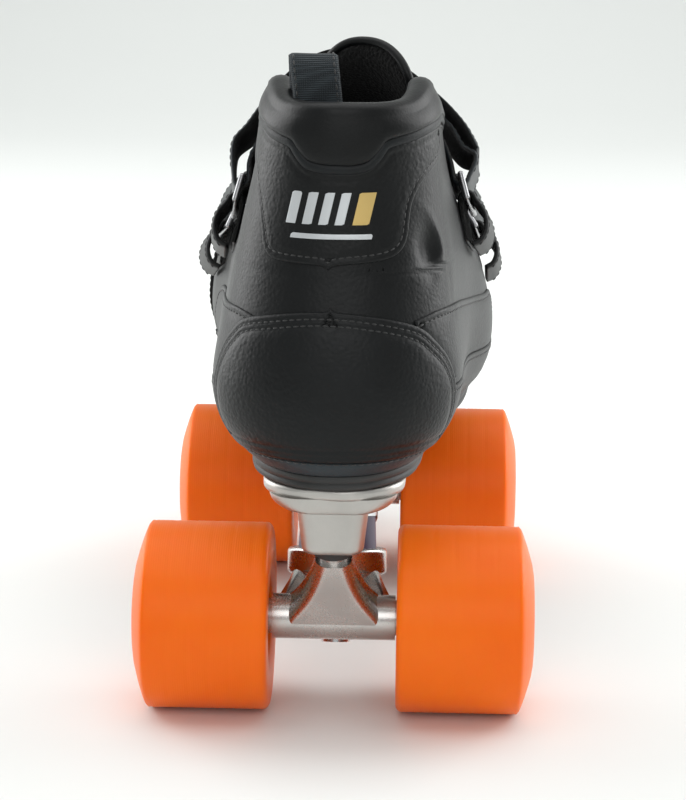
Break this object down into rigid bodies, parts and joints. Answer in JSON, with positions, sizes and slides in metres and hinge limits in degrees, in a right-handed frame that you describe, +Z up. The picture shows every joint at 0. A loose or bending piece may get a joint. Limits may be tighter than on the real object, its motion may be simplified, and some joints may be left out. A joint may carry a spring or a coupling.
{
  "type": "quad roller skate",
  "caption": "Roller skate with a hollow black leather ankle boot, hook-and-loop straps, a cast plate, sprung trucks, wide orange wheels and a toe stop.",
  "frame": {"origin": "on the floor, under the middle of the boot's length, on the truck centre line", "axes": "+Z up, +Y towards the toe, +X towards the outer side of this right-foot skate"},
  "size_m": [0.1314, 0.2848, 0.2175],
  "materials": {
    "black_leather": "grained, semi-matt",
    "smooth_leather": "smooth, semi-matt",
    "hook_strap": "woven hook and loop",
    "mesh": "padded mesh",
    "webbing": "woven webbing",
    "insole": "felt",
    "sole": "matt",
    "cast_plate": "satin cast",
    "hanger": "polished cast",
    "steel": "zinc plated",
    "balls": "polished",
    "wire": "nickel plated",
    "cushion": "urethane",
    "cup": "urethane",
    "urethane": "cast urethane, turned",
    "hub": "moulded nylon",
    "stopper": "moulded rubber"
  },
  "bodies": {
    "skate": {"ankle_strap": "smooth_leather", "back_panel": "smooth_leather", "collar_pad": "smooth_leather", "cushion_lower_front": "cushion", "cushion_lower_rear": "cushion", "cushion_retainers_front": "steel", "cushion_retainers_rear": "steel", "cushion_upper_front": "cushion", "cushion_upper_rear": "cushion", "footbed": "insole", "forefoot_strap": "smooth_leather", "heel_counter": "black_leather", "kingpin_front": "steel", "kingpin_nut_front": "steel", "kingpin_nut_rear": "steel", "kingpin_rear": "steel", "lasting_board": "insole", "mounting_bolts": "steel", "mounting_nuts": "steel", "outsole": "sole", "pivot_cup_front": "cup", "pivot_cup_rear": "cup", "plate": "cast_plate", "pull_loop": "webbing", "rand": "black_leather", "strap_rings": "wire", "strap_tabs": "black_leather", "toe_cap": "black_leather", "toe_stop_nut": "steel", "tongue": "mesh", "upper_shell": "black_leather"},
    "ankle_tail": {"ankle_strap_tail": "hook_strap"},
    "forefoot_tail": {"forefoot_strap_tail": "hook_strap"},
    "truck_rear": {"hanger_rear": "hanger", "axle_rear": "steel", "bearing_inner_rings_rear": "steel", "axle_nuts_rear": "steel"},
    "wheel_rear_outer": {"tyre_rear_outer": "urethane", "hub_rear_outer": "hub", "bearing_outer_rings_rear_outer": "steel", "bearing_balls_rear_outer": "balls"},
    "wheel_rear_inner": {"tyre_rear_inner": "urethane", "hub_rear_inner": "hub", "bearing_outer_rings_rear_inner": "steel", "bearing_balls_rear_inner": "balls"},
    "truck_front": {"hanger_front": "hanger", "axle_front": "steel", "bearing_inner_rings_front": "steel", "axle_nuts_front": "steel"},
    "wheel_front_outer": {"tyre_front_outer": "urethane", "hub_front_outer": "hub", "bearing_outer_rings_front_outer": "steel", "bearing_balls_front_outer": "balls"},
    "wheel_front_inner": {"tyre_front_inner": "urethane", "hub_front_inner": "hub", "bearing_outer_rings_front_inner": "steel", "bearing_balls_front_inner": "balls"},
    "toe_stop": {"toe_stop_stem": "steel", "toe_stop_rubber": "stopper"}
  },
  "joints": [
    {"name": "ankle_strap_peel", "type": "hinge", "parent": "skate", "child": "ankle_tail", "pos_m": [-0.03473, -0.04936, 0.1689], "axis": [0.065, -0.9388, 0.3382], "range_deg": [0, 50]},
    {"name": "forefoot_strap_peel", "type": "hinge", "parent": "skate", "child": "forefoot_tail", "pos_m": [-0.04201, 0.0194, 0.14734], "axis": [0.2246, -0.9316, 0.2859], "range_deg": [0, 50]},
    {"name": "truck_rear_steer", "type": "hinge", "parent": "skate", "child": "truck_rear", "pos_m": [0, -0.119, 0.063], "axis": [0, 0.89, -0.4559], "range_deg": [-8, 8], "stiffness_Nm_per_rad": 20, "deforming": ["cushion_upper_rear", "cushion_lower_rear"]},
    {"name": "wheel_rear_outer_spin", "type": "hinge", "parent": "truck_rear", "child": "wheel_rear_outer", "pos_m": [0.043, -0.105, 0.031], "axis": [1, 0, 0], "continuous": true},
    {"name": "wheel_rear_inner_spin", "type": "hinge", "parent": "truck_rear", "child": "wheel_rear_inner", "pos_m": [-0.043, -0.105, 0.031], "axis": [1, 0, 0], "continuous": true},
    {"name": "truck_front_steer", "type": "hinge", "parent": "skate", "child": "truck_front", "pos_m": [0, 0.069, 0.063], "axis": [0, -0.89, -0.4559], "range_deg": [-8, 8], "stiffness_Nm_per_rad": 20, "deforming": ["cushion_upper_front", "cushion_lower_front"]},
    {"name": "wheel_front_outer_spin", "type": "hinge", "parent": "truck_front", "child": "wheel_front_outer", "pos_m": [0.043, 0.055, 0.031], "axis": [1, 0, 0], "continuous": true},
    {"name": "wheel_front_inner_spin", "type": "hinge", "parent": "truck_front", "child": "wheel_front_inner", "pos_m": [-0.043, 0.055, 0.031], "axis": [1, 0, 0], "continuous": true},
    {"name": "toe_stop_height", "type": "slide", "parent": "skate", "child": "toe_stop", "axis": [0, 0.309, -0.9511], "range_m": [-0.005, 0.005]}
  ]
}
